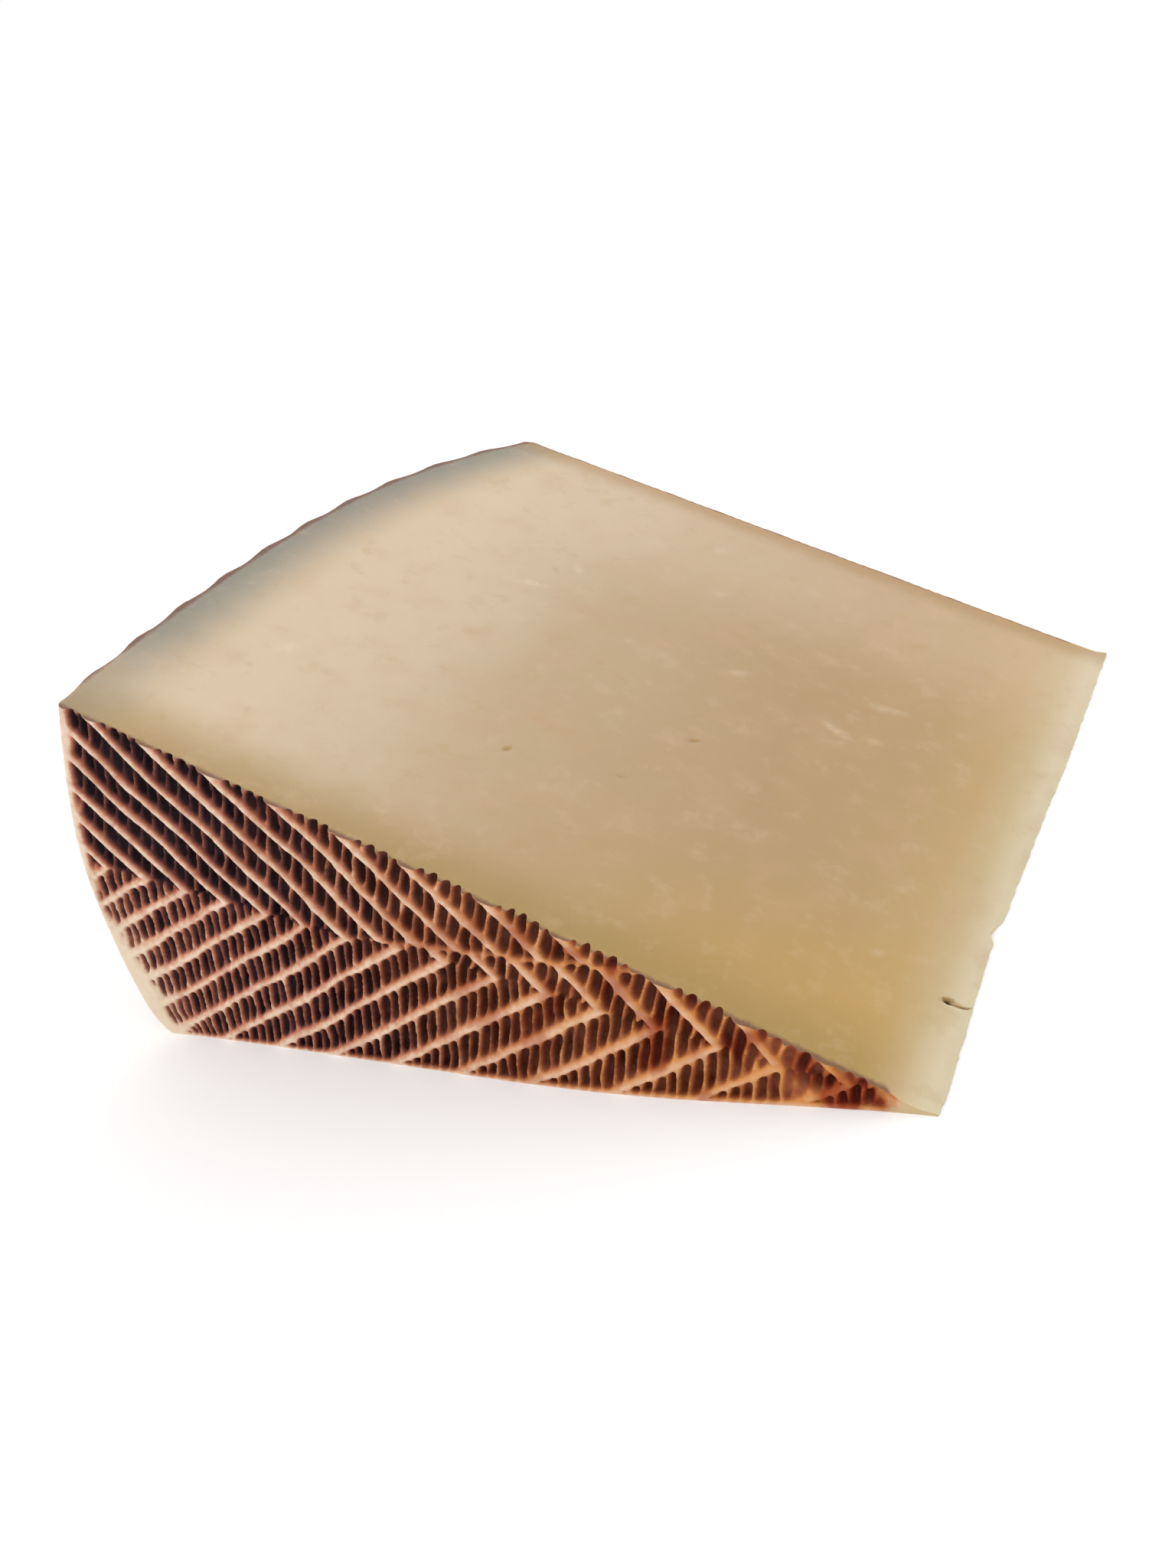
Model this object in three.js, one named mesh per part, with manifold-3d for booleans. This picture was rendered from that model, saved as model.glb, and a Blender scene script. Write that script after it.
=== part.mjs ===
// A wedge of pressed cheese, cut from a wheel that was moulded in a plaited basket.
//
// Millimetres, +Z up. The wheel's axis lies along Y, because the wedge rests on one of its two
// radial cuts. +X runs from the rind to the tip edge, which is on the wheel's axis, and +Y from
// the front flat face of the wheel to the back one. The pieces are made about the wheel's axis,
// and the whole wedge is then moved along X, so that the origin is under its middle.

import * as THREE from 'three';
import { mergeVertices } from 'three/addons/utils/BufferGeometryUtils.js';
import Module from 'manifold-3d';

// ---- The wheel -------------------------------------------------------------------------------
const WHEEL_HEIGHT = 90.6;
// Radius of the barrel side at fractions of the wheel's height, from the front flat face.
const BARREL = [[0, 100], [0.28, 101.4], [0.55, 100.7], [0.8, 96.5], [1, 88.9]];
const BARREL_LARGEST = 101.4;
const FRONT_RIM = BARREL[0][1];
const BACK_RIM = BARREL[BARREL.length - 1][1];
const RIM_ROUND = 1.2;

// ---- The cut ---------------------------------------------------------------------------------
const WEDGE_ANGLE = THREE.MathUtils.degToRad(27.7);
const WEDGE_FACETS = 7;
const TIP_X = 0.45;               // the tip edge is smeared a little past the wheel's axis
const TIP_LAND = 0.25;            // and is slightly blunt
const LIP_ROOT = 1;               // where the upper cut starts to level out, from the axis
// The crumbled stretch of the tip edge: distance from the front face, and depth.
const CHIP = [[5, 0], [14, 0.45], [22, 0.8], [26.9, 1.4], [29.5, 0.65], [50, 0.35], [60, 0]];

// ---- The herringbone imprint on the flat faces -------------------------------------------------
const SEAM_ANGLE = THREE.MathUtils.degToRad(15);      // the seam on which the arms meet
const ARM_ANGLE = THREE.MathUtils.degToRad(40.25);    // from the seam to each arm
const OUTER_APEX_INSET = 4;                           // of the outermost ridge, from the rim
const CHEVRON_PITCH = 5.15;                           // along the seam, next to the rim
const CHEVRON_GROWTH = 0.095;                         // how much wider each pitch is than the last
const RIDGE_SHARE = 0.32;                             // of the pitch that is left standing
const PLAIN_RIM = 1.4;                                // width left without an imprint
const PLAIN_TIP = 3;                                  // and at the tip
const FACE_GROOVE_DEPTH = 0.9;

// ---- The plaited imprint round the side --------------------------------------------------------
const ROW_PITCH = 8.5;            // between the ridges that run round the wheel
const FIRST_ROW = 6.3;            // the first of them, from the front face
const ROW_SWELL = 0.22;           // how far such a ridge stands above the barrel's curve
const ZIGZAG_SHIFT = 6;           // sideways run of a slanting groove across one row
const ZIGZAG_PITCH = 4.8;           // between grooves, along the row
const ZIGZAG_WIDTH = 2.6;
const SIDE_GROOVE_DEPTH = 0.5;

const HALF_HEIGHT = WHEEL_HEIGHT / 2;

const cheese = new THREE.MeshStandardMaterial({ color: 0xc6ac8a, roughness: 0.5, metalness: 0 });

const wasm = await Module();
wasm.setup();

// ---- Solids ----------------------------------------------------------------------------------

// A closed geometry as a manifold solid. Triangles that merging has folded flat are left out.
function toSolid(geometry) {
  const bare = geometry.clone();
  bare.deleteAttribute('normal');
  bare.deleteAttribute('uv');
  const merged = mergeVertices(bare, 1e-4);
  const corners = merged.index.array;
  const triangles = [];
  for (let i = 0; i < corners.length; i += 3) {
    const [a, b, c] = [corners[i], corners[i + 1], corners[i + 2]];
    if (a !== b && b !== c && c !== a) triangles.push(a, b, c);
  }
  return new wasm.Manifold(new wasm.Mesh({
    numProp: 3,
    vertProperties: new Float32Array(merged.attributes.position.array),
    triVerts: new Uint32Array(triangles),
  }));
}

function toGeometry(solid) {
  const mesh = solid.getMesh();
  const geometry = new THREE.BufferGeometry();
  geometry.setAttribute('position', new THREE.BufferAttribute(mesh.vertProperties, 3));
  geometry.setIndex(new THREE.BufferAttribute(mesh.triVerts, 1));
  geometry.computeVertexNormals();
  return geometry;
}

function join(solids) {
  return solids.reduce((whole, solid) => whole.add(solid));
}

// A prism along Y between two heights on the wheel. The outline is in the X-Z plane.
function prismAlongY(outline, from, to) {
  const shape = new THREE.Shape(outline.map(([x, z]) => new THREE.Vector2(x, z)));
  const prism = new THREE.ExtrudeGeometry(shape, { depth: to - from, bevelEnabled: false });
  prism.rotateX(Math.PI / 2);
  prism.translate(0, to, 0);
  return toSolid(prism);
}

// ---- The wheel -------------------------------------------------------------------------------

const barrelCurve = new THREE.SplineCurve(BARREL.map(([share, r]) => new THREE.Vector2(share, r)));

// Distance of the side from the wheel's axis. The point list of a spline is even enough in
// height that the nearest two points can be joined straight.
function sideRadius(y) {
  const share = (y + HALF_HEIGHT) / WHEEL_HEIGHT;
  const points = barrelCurve.getPoints(80);
  const next = Math.max(1, points.findIndex((point) => point.x >= share - 1e-9));
  const [a, b] = [points[next - 1], points[next]];
  const smooth = THREE.MathUtils.mapLinear(share, a.x, b.x, a.y, b.y);
  const phase = (2 * Math.PI * (y + HALF_HEIGHT - FIRST_ROW)) / ROW_PITCH;
  return smooth + ROW_SWELL * Math.cos(phase);
}

// The whole wheel, or with an inset the core that the side's imprint doesn't reach.
function wheel(inset) {
  const profile = [new THREE.Vector2(0, -HALF_HEIGHT)];
  profile.push(new THREE.Vector2(FRONT_RIM - inset - RIM_ROUND, -HALF_HEIGHT));
  const first = -HALF_HEIGHT + FIRST_ROW - ROW_PITCH / 2;
  for (let y = first; y < HALF_HEIGHT - RIM_ROUND; y += ROW_PITCH / 2) {
    profile.push(new THREE.Vector2(sideRadius(y) - inset, y));
  }
  profile.push(new THREE.Vector2(BACK_RIM - inset - RIM_ROUND, HALF_HEIGHT));
  profile.push(new THREE.Vector2(0, HALF_HEIGHT));
  const facets = Math.round((2 * Math.PI * WEDGE_FACETS) / WEDGE_ANGLE);
  const lathe = new THREE.LatheGeometry(profile, facets, -Math.PI / 2);
  return toSolid(lathe);
}

// ---- The imprint -----------------------------------------------------------------------------

// A point of a flat face, given along the seam from the axis and square to the seam.
function onFace(along, across) {
  const [c, s] = [Math.cos(SEAM_ANGLE), Math.sin(SEAM_ANGLE)];
  return [across * s - along * c, along * s + across * c];
}

// Nested chevron grooves in a flat face, with their apexes towards the tip.
function chevrons(rim, face) {
  const reach = BARREL_LARGEST * Math.sin(WEDGE_ANGLE);
  const run = reach / Math.tan(ARM_ANGLE);
  const grooves = [];
  let pitch = CHEVRON_PITCH;
  let ridge = rim - OUTER_APEX_INSET;
  while (ridge + (RIDGE_SHARE * pitch) / 2 > PLAIN_TIP) {
    const inner = ridge + (RIDGE_SHARE * pitch) / 2;
    const outer = inner + (1 - RIDGE_SHARE) * pitch;
    const outline = [
      onFace(inner, 0),
      onFace(inner + run, reach),
      onFace(outer + run, reach),
      onFace(outer, 0),
      onFace(outer + run, -reach),
      onFace(inner + run, -reach),
    ];
    grooves.push(prismAlongY(outline, face - FACE_GROOVE_DEPTH, face + FACE_GROOVE_DEPTH));
    ridge -= pitch;
    pitch += CHEVRON_GROWTH;
  }
  const disc = new THREE.CylinderGeometry(rim - PLAIN_RIM, rim - PLAIN_RIM, 2 * WHEEL_HEIGHT, 96);
  return join(grooves).intersect(toSolid(disc));
}

// One zigzag groove over the side, from the front of the wheel to the back, at an angle above
// the lower cut. It crosses a row of the plait between each two of the side's ridges.
function zigzag(angle) {
  const left = [];
  const right = [];
  const rows = Math.ceil(WHEEL_HEIGHT / ROW_PITCH) + 1;
  for (let row = 0; row <= rows; row += 1) {
    const y = -HALF_HEIGHT + FIRST_ROW + (row - 1) * ROW_PITCH;
    const middle = row % 2 === 0 ? -ZIGZAG_SHIFT / 2 : ZIGZAG_SHIFT / 2;
    left.push(new THREE.Vector2(middle - ZIGZAG_WIDTH / 2, y));
    right.unshift(new THREE.Vector2(middle + ZIGZAG_WIDTH / 2, y));
  }
  const depth = 20;
  const shape = new THREE.Shape([...left, ...right]);
  const groove = new THREE.ExtrudeGeometry(shape, { depth, bevelEnabled: false });
  groove.translate(0, 0, BARREL_LARGEST + 1 - depth);
  groove.rotateY(angle - Math.PI / 2);
  return toSolid(groove);
}

function zigzags() {
  const step = ZIGZAG_PITCH / BARREL_LARGEST;
  const grooves = [];
  for (let angle = -step; angle < WEDGE_ANGLE + 2 * step; angle += step) {
    grooves.push(zigzag(angle));
  }
  return join(grooves).subtract(wheel(SIDE_GROOVE_DEPTH));
}

// ---- The cut ---------------------------------------------------------------------------------

// What the two radial cuts leave: the lower one flat on the ground, the upper one rising from
// the tip edge.
function cut() {
  const reach = 2 * BARREL_LARGEST;
  const outline = [
    [TIP_X, 0],
    [TIP_X, TIP_LAND],
    [-LIP_ROOT, LIP_ROOT * Math.tan(WEDGE_ANGLE)],
    [-reach, reach * Math.tan(WEDGE_ANGLE)],
    [-reach, 0],
  ];
  return prismAlongY(outline, -WHEEL_HEIGHT, WHEEL_HEIGHT);
}

// The stretch of the tip edge where crumbs have broken away.
function chip() {
  const edge = CHIP.map(([y, depth]) => new THREE.Vector2(TIP_X - depth, y - HALF_HEIGHT));
  const outside = [edge[edge.length - 1], edge[0]].map(({ y }) => new THREE.Vector2(TIP_X + 1, y));
  const shape = new THREE.Shape([...edge, ...outside]);
  const crumbs = new THREE.ExtrudeGeometry(shape, { depth: 10, bevelEnabled: false });
  crumbs.translate(0, 0, -5);
  return toSolid(crumbs);
}

function cheeseWedge() {
  const slice = wheel(0).intersect(cut()).subtract(chip());
  const front = chevrons(FRONT_RIM, -HALF_HEIGHT);
  const back = chevrons(BACK_RIM, HALF_HEIGHT);
  const imprint = join([front, back, zigzags()]);
  const wedge = new THREE.Mesh(toGeometry(slice.subtract(imprint)), cheese);
  wedge.name = 'cheese_wedge';
  wedge.geometry.computeBoundingBox();
  wedge.position.x = -wedge.geometry.boundingBox.getCenter(new THREE.Vector3()).x;
  return wedge;
}

const part = new THREE.Group();
part.name = 'wedge';
part.add(cheeseWedge());

export default part;
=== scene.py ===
"""A wedge of pressed sheep's milk cheese, cut from a basket-moulded wheel, on a pale floor."""

import math

import bpy
import numpy as np
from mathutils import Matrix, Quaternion, Vector


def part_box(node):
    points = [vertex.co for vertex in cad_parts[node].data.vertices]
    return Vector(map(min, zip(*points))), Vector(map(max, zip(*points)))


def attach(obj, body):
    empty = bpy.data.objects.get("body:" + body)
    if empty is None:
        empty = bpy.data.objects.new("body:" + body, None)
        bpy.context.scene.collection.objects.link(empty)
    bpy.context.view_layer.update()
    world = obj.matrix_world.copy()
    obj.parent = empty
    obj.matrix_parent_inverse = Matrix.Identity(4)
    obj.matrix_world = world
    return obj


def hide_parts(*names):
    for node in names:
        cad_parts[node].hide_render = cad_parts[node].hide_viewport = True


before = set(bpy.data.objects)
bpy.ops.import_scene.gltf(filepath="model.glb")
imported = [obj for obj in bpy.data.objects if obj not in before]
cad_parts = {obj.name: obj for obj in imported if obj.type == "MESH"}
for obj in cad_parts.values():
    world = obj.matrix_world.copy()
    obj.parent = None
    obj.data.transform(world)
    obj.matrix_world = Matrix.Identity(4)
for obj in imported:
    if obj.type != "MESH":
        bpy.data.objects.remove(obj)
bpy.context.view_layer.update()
LOW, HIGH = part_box("cheese_wedge")

bl_info = {
    "name": "Cheese wedge",
    "version": (1, 0, 0),
    "blender": (4, 5, 0),
    "location": "3D View > Sidebar > Cheese",
    "description": "Models a wedge of basket-moulded pressed cheese and its studio",
    "category": "Object",
}

MM = 0.001
ON_PLANE = 0.02 * MM       # a point this near to a plane counts as on it
MERGE = 0.01               # of a cell: points nearer to each other than this become one

# The wheel that the wedge was cut from. Its axis lies along Y, on the ground, just past the tip.
WEDGE_ANGLE = math.radians(27.7)
TIP_LIP = 0.45 * MM        # the tip edge is smeared this far past the wheel's axis
TIP_LAND = 0.25 * MM
LIP_ROOT = 1.0 * MM
AXIS_X = HIGH.x - TIP_LIP
FRONT, BACK = LOW.y, HIGH.y
HEIGHT = BACK - FRONT
FRONT_RIM = 100 * MM
BACK_RIM = 88.9 * MM


# ---- Settings --------------------------------------------------------------------------------


def length(name, description, default):
    """A length that a user can set."""
    return bpy.props.FloatProperty(
        name=name,
        description=description,
        default=default,
        subtype="DISTANCE",
        unit="LENGTH",
        precision=5,
    )


class CheeseSizes(bpy.types.PropertyGroup):
    """Sizes that shape the wedge's surface."""

    front_cell: length("Front cell", "Spacing of the mesh on the front flat face", 0.22 * MM)
    back_cell: length("Back cell", "Spacing of the mesh on the back flat face", 0.33 * MM)
    side_cell: length("Side cell", "Spacing of the mesh on the barrel side", 0.5 * MM)
    cut_cell: length("Cut cell", "Spacing of the mesh on the upper cut face", 1.5 * MM)
    pit_depth: length("Pit depth", "Depth of the pits that the plaited mould left", 1.3 * MM)


# ---- Selecting and shaping -------------------------------------------------------------------


def edit(obj):
    """Starts editing one object, with nothing in it selected."""
    if bpy.context.object and bpy.context.object.mode == "EDIT":
        bpy.ops.object.mode_set(mode="OBJECT")
    bpy.ops.object.select_all(action="DESELECT")
    obj.select_set(True)
    bpy.context.view_layer.objects.active = obj
    bpy.ops.object.mode_set(mode="EDIT")
    bpy.ops.mesh.select_all(action="DESELECT")


def done():
    """Leaves edit mode."""
    bpy.ops.object.mode_set(mode="OBJECT")


def points(mesh):
    """The mesh's vertices as an array of rows."""
    flat = np.empty(len(mesh.vertices) * 3, dtype=np.float64)
    mesh.vertices.foreach_get("co", flat)
    return flat.reshape(-1, 3)


def move_points(mesh, rows):
    """Gives the mesh's vertices new places."""
    mesh.vertices.foreach_set("co", rows.ravel())
    mesh.update()


def select_edges(obj, test):
    """In edit mode, selects the boundary edges whose two ends pass the test on their points."""
    done()
    mesh = obj.data
    passes = test(points(mesh))
    ends = np.empty(len(mesh.edges) * 2, dtype=np.int64)
    mesh.edges.foreach_get("vertices", ends)
    ends = ends.reshape(-1, 2)
    loops = np.empty(len(mesh.loops), dtype=np.int64)
    mesh.loops.foreach_get("edge_index", loops)
    faces = np.bincount(loops, minlength=len(mesh.edges))
    chosen = passes[ends[:, 0]] & passes[ends[:, 1]] & (faces < 2)
    mesh.polygons.foreach_set("select", np.zeros(len(mesh.polygons), dtype=bool))
    mesh.edges.foreach_set("select", chosen)
    marked = np.zeros(len(mesh.vertices), dtype=bool)
    marked[ends[chosen].ravel()] = True
    mesh.vertices.foreach_set("select", marked)
    bpy.ops.object.mode_set(mode="EDIT")
    bpy.ops.mesh.select_mode(type="EDGE")


def polar(rows):
    """Distance from the wheel's axis, and angle above the lower cut."""
    x, z = rows[:, 0] - AXIS_X, rows[:, 2]
    return np.hypot(x, z), np.arctan2(z, -x)


def at_angle(angle):
    """A test for points on the radial plane at an angle above the lower cut."""
    def test(rows):
        off = (rows[:, 0] - AXIS_X) * math.sin(angle) + rows[:, 2] * math.cos(angle)
        return np.abs(off) < ON_PLANE
    return test


# ---- The wheel's shape -----------------------------------------------------------------------

ROW_PITCH = 8.5 * MM       # between the ridges that run round the side
FIRST_ROW = 6.3 * MM
ROW_SWELL = 0.22 * MM
RIM_ROUND = 1.0 * MM
WIDEST = 0.3               # where the barrel is widest, as a share of its height from the front
BARREL_SWELL = 1.4 * MM
BARREL_DROP = 12.5 * MM
BARREL_CURVE = 2.8


def barrel_radius(y):
    """Radius of the barrel side, without its ridges: widest at a third of the height."""
    share = (y - FRONT) / HEIGHT
    front = FRONT_RIM + BARREL_SWELL * np.sin(np.clip(share / WIDEST, 0, 1) * math.pi / 2)
    drop = np.clip((share - WIDEST) / (1 - WIDEST), 0, 1)
    return front - BARREL_DROP * drop ** BARREL_CURVE


def side_radius(y):
    """Radius of the barrel side with the ridges that run round it."""
    phase = 2 * math.pi * (y - FRONT - FIRST_ROW) / ROW_PITCH
    return barrel_radius(y) + ROW_SWELL * np.cos(phase)


# ---- The five faces --------------------------------------------------------------------------

RIM_FACETS = 36
PATCH_INSET = 2.6 * MM     # from a cut face's outline to its inner patch
PATCH_SIDES = 8            # straight stretches of the inner patch along the barrel


def add_grid(name, width, height, cell, centre, turn):
    """A flat grid of about square cells, made at its size and place."""
    bpy.ops.object.select_all(action="DESELECT")
    bpy.ops.mesh.primitive_grid_add(
        x_subdivisions=math.ceil(width / cell),
        y_subdivisions=math.ceil(height / cell),
        size=1,
        location=centre,
        rotation=turn,
    )
    obj = bpy.context.object
    obj.name = name
    bpy.ops.transform.resize(value=(width, height, 1), orient_type="LOCAL")
    bpy.ops.object.transform_apply(location=True, rotation=True, scale=True)
    return obj


def trim(place, outward):
    """Cuts away what lies beyond a plane."""
    bpy.ops.mesh.select_all(action="SELECT")
    bpy.ops.mesh.bisect(plane_co=place, plane_no=outward, clear_outer=True, threshold=1e-7)


def trim_to_sector(y, rim):
    """Cuts a grid in a flat face down to the sector between the two radial cuts and the rim."""
    sine, cosine = math.sin(WEDGE_ANGLE), math.cos(WEDGE_ANGLE)
    trim((AXIS_X, y, 0), (0, 0, -1))
    trim((AXIS_X, y, 0), (sine, 0, cosine))
    trim((AXIS_X - LIP_ROOT, y, 0), (1, 0, 0))
    for i in range(RIM_FACETS):
        angle = WEDGE_ANGLE * (i + 0.5) / RIM_FACETS
        outward = Vector((-math.cos(angle), 0, math.sin(angle)))
        middle = Vector((AXIS_X, y, 0)) + outward * rim * math.cos(WEDGE_ANGLE / RIM_FACETS / 2)
        trim(middle, outward)


def add_flat_face(name, y, rim, cell, turn):
    """One flat face of the wheel, within the wedge."""
    height = rim * math.sin(WEDGE_ANGLE) + cell
    centre = (AXIS_X - rim / 2, y, height / 2 - cell / 2)
    obj = add_grid(name, rim + cell, height, cell, centre, turn)
    edit(obj)
    trim_to_sector(y, rim)
    bpy.ops.mesh.select_all(action="SELECT")
    bpy.ops.mesh.remove_doubles(threshold=MERGE * cell)
    done()
    return obj


def add_side(cell):
    """The barrel side: a chain of points along the wheel, spun through the wedge's angle."""
    start, end = FRONT + cell, BACK - cell
    rows = math.ceil((end - start) / cell)
    centre = (AXIS_X - FRONT_RIM, (start + end) / 2, 0)
    obj = add_grid("side", cell, end - start, cell, centre, (0, 0, 0))
    edit(obj)
    done()
    right = points(obj.data)[:, 0] > AXIS_X - FRONT_RIM
    obj.data.vertices.foreach_set("select", right)
    bpy.ops.object.mode_set(mode="EDIT")
    bpy.ops.mesh.select_mode(type="VERT")
    bpy.ops.mesh.delete(type="VERT")
    done()
    chain = points(obj.data)
    chain[:, 0] = AXIS_X - side_radius(chain[:, 1])
    move_points(obj.data, chain)
    bpy.ops.object.mode_set(mode="EDIT")
    bpy.ops.mesh.select_all(action="SELECT")
    steps = round(FRONT_RIM * WEDGE_ANGLE / cell)
    bpy.ops.mesh.spin(steps=steps, angle=-WEDGE_ANGLE, center=(AXIS_X, 0, 0), axis=(0, 1, 0))
    done()
    return obj


def add_cut_patch(name, cell, angle):
    """The inner part of a cut face, turned up by an angle from the ground about the axis."""
    width = FRONT_RIM + 2 * MM
    centre = (AXIS_X - width / 2, (FRONT + BACK) / 2, 0)
    obj = add_grid(name, width, HEIGHT, cell, centre, (0, 0, 0))
    edit(obj)
    trim((0, FRONT + PATCH_INSET, 0), (0, -1, 0))
    trim((0, BACK - PATCH_INSET, 0), (0, 1, 0))
    trim((AXIS_X - 1.5 * PATCH_INSET, 0, 0), (1, 0, 0))
    stations = np.linspace(FRONT, BACK, PATCH_SIDES + 1)
    for a, b in zip(stations, stations[1:]):
        start = Vector((AXIS_X - barrel_radius(a) + PATCH_INSET, a, 0))
        finish = Vector((AXIS_X - barrel_radius(b) + PATCH_INSET, b, 0))
        run = finish - start
        trim(start, (-run.y, run.x, 0))
    bpy.ops.mesh.select_all(action="SELECT")
    bpy.ops.mesh.remove_doubles(threshold=MERGE * cell)
    done()
    rows = points(obj.data)
    reach = AXIS_X - rows[:, 0]
    rows[:, 0] = AXIS_X - reach * math.cos(angle)
    rows[:, 2] = reach * math.sin(angle)
    move_points(obj.data, rows)
    return obj


# ---- Joining the faces -----------------------------------------------------------------------

STRAY = 0.06 * MM          # merging moves points off the cut planes by no more than this
FRONT_SLACK = 0.06 * MM    # a point this far inside a flat face's rim counts as on it
BACK_SLACK = 0.09 * MM


def join_all(pieces, name):
    """Joins objects into one, under a new name."""
    bpy.ops.object.select_all(action="DESELECT")
    for piece in pieces:
        piece.select_set(True)
    bpy.context.view_layer.objects.active = pieces[0]
    bpy.ops.object.join()
    obj = bpy.context.object
    obj.name = name
    obj.data.name = name
    return obj


def square_up(obj):
    """Puts points that merging has moved slightly back on the cut planes."""
    rows = points(obj.data)
    for angle in (0, WEDGE_ANGLE):
        sine, cosine = math.sin(angle), math.cos(angle)
        off = (rows[:, 0] - AXIS_X) * sine + rows[:, 2] * cosine
        near = np.abs(off) < STRAY
        rows[near, 0] -= off[near] * sine
        rows[near, 2] -= off[near] * cosine
    move_points(obj.data, rows)


def close_gap(obj, y_from, y_to, rim):
    """Bridges the rim of a flat face to the side."""
    def test(rows):
        radius = polar(rows)[0]
        return (rows[:, 1] > y_from) & (rows[:, 1] < y_to) & (radius > rim)
    select_edges(obj, test)
    bpy.ops.mesh.bridge_edge_loops()


def close_tip(obj, steps):
    """Bridges the two flat faces along the tip edge."""
    select_edges(obj, lambda rows: rows[:, 0] > AXIS_X - LIP_ROOT - ON_PLANE)
    bpy.ops.mesh.bridge_edge_loops(number_cuts=steps)


def close_cut(obj, angle):
    """Fills a cut face between its outline and its inner patch."""
    select_edges(obj, at_angle(angle))
    bpy.ops.mesh.fill(use_beauty=True)


def build_shell(sizes):
    """The wedge's closed and still smooth surface."""
    front = add_flat_face("front", FRONT, FRONT_RIM, sizes.front_cell, (math.pi / 2, 0, 0))
    back = add_flat_face("back", BACK, BACK_RIM, sizes.back_cell, (-math.pi / 2, 0, 0))
    side = add_side(sizes.side_cell)
    lower = add_cut_patch("lower", 2 * sizes.cut_cell, 0)
    upper = add_cut_patch("upper", sizes.cut_cell, WEDGE_ANGLE)
    obj = join_all([front, back, side, lower, upper], "cheese")
    square_up(obj)
    gap = 1.4 * sizes.side_cell
    close_gap(obj, FRONT - MM, FRONT + gap, FRONT_RIM - FRONT_SLACK)
    close_gap(obj, BACK - gap, BACK + MM, BACK_RIM - BACK_SLACK)
    close_tip(obj, round(HEIGHT / sizes.side_cell))
    close_cut(obj, 0)
    close_cut(obj, WEDGE_ANGLE)
    bpy.ops.mesh.select_all(action="SELECT")
    bpy.ops.mesh.normals_make_consistent(inside=False)
    done()
    return obj


# ---- The imprint of the mould ----------------------------------------------------------------

SEAM = math.radians(15)              # the line on which the herringbone's arms meet
UPPER_ARM = math.radians(124)        # directions in a flat face, from the wedge's X axis
LOWER_ARM = math.radians(24.5)
UPPER_PIT = math.radians(64)
LOWER_PIT = math.radians(74)
APEX_INSET = 4.0                     # these are millimetres, as all sizes of the imprint
CHEVRON_PITCH = 5.1
CHEVRON_GROWTH = 0.0476
PIT_PITCH = 1.68
RIDGE_HALF = 0.38
BREAK_START = (-61.0, 16.4)          # the slip line across the upper arms
BREAK_END = (-28.0, 14.4)
BREAK_SLIP = 1.5
CRUSHED = (24, 8)                    # distance from the axis where crushing starts and is full
NOTHING = (3.2, 5.6)                 # distance from the axis where the imprint starts
WORN = (42, 8)                       # the same from the rim, for pits that run together
RIM_BAND = 1.5                       # width of the plain band along the rim


def smooth(low, high, value):
    """0 below low and 1 above high, with an even curve between. low may be the larger one."""
    share = np.clip((value - low) / (high - low), 0, 1)
    return share * share * (3 - 2 * share)


def noise(a, b, size, seed):
    """Smooth random values from 0 to 1 over a plane, with features about as large as size."""
    table = np.random.default_rng(seed).random((128, 128))
    a, b = a / size, b / size
    row, column = np.floor(a).astype(int), np.floor(b).astype(int)
    down, right = a - row, b - column
    down, right = down * down * (3 - 2 * down), right * right * (3 - 2 * right)
    corner = [table[(row + i) % 128, (column + j) % 128] for i in (0, 1) for j in (0, 1)]
    top = corner[0] * (1 - right) + corner[1] * right
    bottom = corner[2] * (1 - right) + corner[3] * right
    return top * (1 - down) + bottom * down


def swing(a, b, size, seed):
    """The same noise, from -1 to 1."""
    return 2 * noise(a, b, size, seed) - 1


def apex_of(across, up, arm):
    """Where the herringbone line through a point meets the seam: its distance from the axis."""
    return (up * math.cos(arm) - across * math.sin(arm)) / math.sin(arm + SEAM)


def along_arm(across, up, arm, pit):
    """Distance along an arm, counted so that it stays the same along a leaning pit."""
    return (across * math.sin(pit) - up * math.cos(pit)) / math.sin(pit - arm)


def below_break(across, up):
    """How far a point lies below the slip line."""
    share = (across - BREAK_START[0]) / (BREAK_END[0] - BREAK_START[0])
    line = BREAK_START[1] + share * (BREAK_END[1] - BREAK_START[1])
    return line + 0.25 * swing(across, 0 * up, 3, 31) - up


def ladder(place, width, wall, depth):
    """Depth of a row of rounded pits between walls, by place along the row and half width."""
    across = 2 * np.abs(place % 1 - 0.5)
    fill = (across / 0.76) ** 2.4 + np.abs(width) ** 4
    return wall + (depth - wall) * np.clip(1 - fill, 0, 1) ** 0.65


def arm_lines(across, up, rim, crushed, seed):
    """Which arm a point is on, its place in the row of ridges and their spacing there."""
    drift = 0.45 * swing(across, up, 9, seed) + 0.16 * swing(across, up, 2.6, seed + 1)
    skew = (0.3 + 0.6 * crushed) * swing(across, up, 5, seed + 2)
    slip = BREAK_SLIP * (below_break(across, up) > 0)
    low = apex_of(across, up, LOWER_ARM) + drift
    high = apex_of(across, up, UPPER_ARM) + drift + slip + skew
    upper = high < low
    apex = np.where(upper, high, low)
    inward = np.maximum(rim - APEX_INSET - apex, -CHEVRON_PITCH ** 2 / 4 / CHEVRON_GROWTH)
    root = np.sqrt(CHEVRON_PITCH ** 2 + 4 * CHEVRON_GROWTH * inward)
    count = (root - CHEVRON_PITCH) / (2 * CHEVRON_GROWTH)
    arm = np.where(upper, UPPER_ARM, LOWER_ARM)
    return upper, count, root * np.sin(arm + SEAM)


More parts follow.
